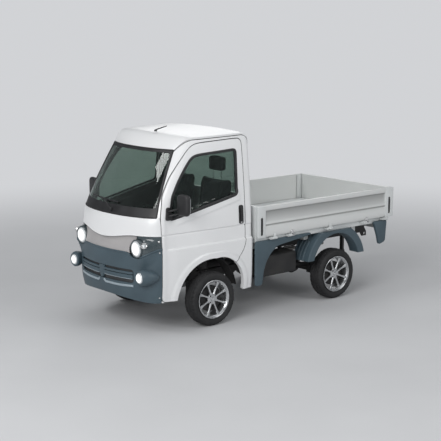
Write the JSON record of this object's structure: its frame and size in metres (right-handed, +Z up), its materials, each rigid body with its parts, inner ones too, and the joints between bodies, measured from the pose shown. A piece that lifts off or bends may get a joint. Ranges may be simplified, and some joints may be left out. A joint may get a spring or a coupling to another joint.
{
  "type": "cab-over mini pickup truck",
  "caption": "Small cab-over pickup truck with a drop-side load bed, opening doors and gates, steered front wheels and a turning steering wheel.",
  "frame": {"origin": "on the ground, midway between the extremes in length and width", "axes": "+Z up, -Y forwards, +X to the truck's left side"},
  "size_m": [1.6468, 3.3935, 1.9125],
  "materials": {
    "white_paint": "gloss",
    "grey_moulding": "satin",
    "black_plastic": "satin",
    "lamp_glass": "gloss",
    "red_lens": "gloss",
    "glass": "gloss",
    "seat_fabric": "matte",
    "bed_paint": "satin",
    "chassis_black": "satin",
    "cast_metal": "cast",
    "exhaust_steel": "dull",
    "alloy": "satin",
    "tyre": "matte"
  },
  "bodies": {
    "chassis": {"frame_rails": "chassis_black", "cross_tubes": "chassis_black", "engine": "cast_metal", "driveline": "chassis_black", "exhaust": "exhaust_steel", "fuel_tank": "chassis_black", "front_suspension": "chassis_black", "rear_axle": "chassis_black", "leaf_springs": "chassis_black", "cab_floor": "chassis_black", "cab_sides": "white_paint", "front_panel": "white_paint", "roof_panel": "white_paint", "back_panel": "white_paint", "windscreen": "glass", "rear_window": "glass", "front_bumper": "grey_moulding", "grille": "black_plastic", "headlamps": "lamp_glass", "fog_lamps": "lamp_glass", "dashboard": "black_plastic", "seats": "seat_fabric", "wiper": "black_plastic", "antenna": "black_plastic", "bed_deck": "bed_paint", "headboard": "bed_paint", "side_mouldings": "grey_moulding", "tail_lamps": "red_lens"},
    "door_left": {"door_left": "white_paint", "door_hinges_left": "chassis_black", "door_glass_left": "glass", "mirror_left": "black_plastic", "handle_left": "black_plastic"},
    "door_right": {"door_right": "white_paint", "door_hinges_right": "chassis_black", "door_glass_right": "glass", "mirror_right": "black_plastic", "handle_right": "black_plastic"},
    "gate_left": {"gate_left": "bed_paint"},
    "gate_right": {"gate_right": "bed_paint"},
    "tailgate": {"tailgate": "bed_paint"},
    "knuckle_left": {"knuckle_left": "chassis_black"},
    "knuckle_right": {"knuckle_right": "chassis_black"},
    "wheel_fl": {"rim_fl": "alloy", "tyre_fl": "tyre"},
    "wheel_fr": {"rim_fr": "alloy", "tyre_fr": "tyre"},
    "wheel_rl": {"rim_rl": "alloy", "tyre_rl": "tyre"},
    "wheel_rr": {"rim_rr": "alloy", "tyre_rr": "tyre"},
    "steering_wheel": {"steering_wheel": "black_plastic"}
  },
  "joints": [
    {"name": "door_left_hinge", "type": "hinge", "parent": "chassis", "child": "door_left", "pos_m": [0.628, -1.415, 0.53], "axis": [0, 0, -1], "range_deg": [0, 65]},
    {"name": "door_right_hinge", "type": "hinge", "parent": "chassis", "child": "door_right", "pos_m": [-0.628, -1.415, 0.53], "axis": [0, 0, 1], "range_deg": [0, 65]},
    {"name": "gate_left_hinge", "type": "hinge", "parent": "chassis", "child": "gate_left", "pos_m": [0.738, 0.68, 0.775], "axis": [0, 1, 0], "range_deg": [0, 170]},
    {"name": "gate_right_hinge", "type": "hinge", "parent": "chassis", "child": "gate_right", "pos_m": [-0.738, 0.68, 0.775], "axis": [0, -1, 0], "range_deg": [0, 170]},
    {"name": "tailgate_hinge", "type": "hinge", "parent": "chassis", "child": "tailgate", "pos_m": [0, 1.686, 0.775], "axis": [-1, 0, 0], "range_deg": [0, 170]},
    {"name": "steer_left", "type": "hinge", "parent": "chassis", "child": "knuckle_left", "pos_m": [0.56, -0.88, 0.266], "axis": [0, 0, 1], "range_deg": [-35, 35]},
    {"name": "steer_right", "type": "hinge", "parent": "chassis", "child": "knuckle_right", "pos_m": [-0.56, -0.88, 0.266], "axis": [0, 0, 1], "range_deg": [-36, 36]},
    {"name": "steering_wheel_turn", "type": "hinge", "parent": "chassis", "child": "steering_wheel", "pos_m": [0.29, -1.2, 1.07], "axis": [0, 0.6157, 0.788], "range_deg": [-540, 540]},
    {"name": "wheel_fl_spin", "type": "hinge", "parent": "knuckle_left", "child": "wheel_fl", "pos_m": [0.652, -0.88, 0.266], "axis": [1, 0, 0], "continuous": true},
    {"name": "wheel_fr_spin", "type": "hinge", "parent": "knuckle_right", "child": "wheel_fr", "pos_m": [-0.652, -0.88, 0.266], "axis": [1, 0, 0], "continuous": true},
    {"name": "wheel_rl_spin", "type": "hinge", "parent": "chassis", "child": "wheel_rl", "pos_m": [0.652, 0.805, 0.266], "axis": [1, 0, 0], "continuous": true},
    {"name": "wheel_rr_spin", "type": "hinge", "parent": "chassis", "child": "wheel_rr", "pos_m": [-0.652, 0.805, 0.266], "axis": [1, 0, 0], "continuous": true}
  ],
  "couplings": [
    {"joint": "steer_right", "follows": "steer_left", "ratio": 1},
    {"joint": "steering_wheel_turn", "follows": "steer_left", "ratio": 15}
  ]
}
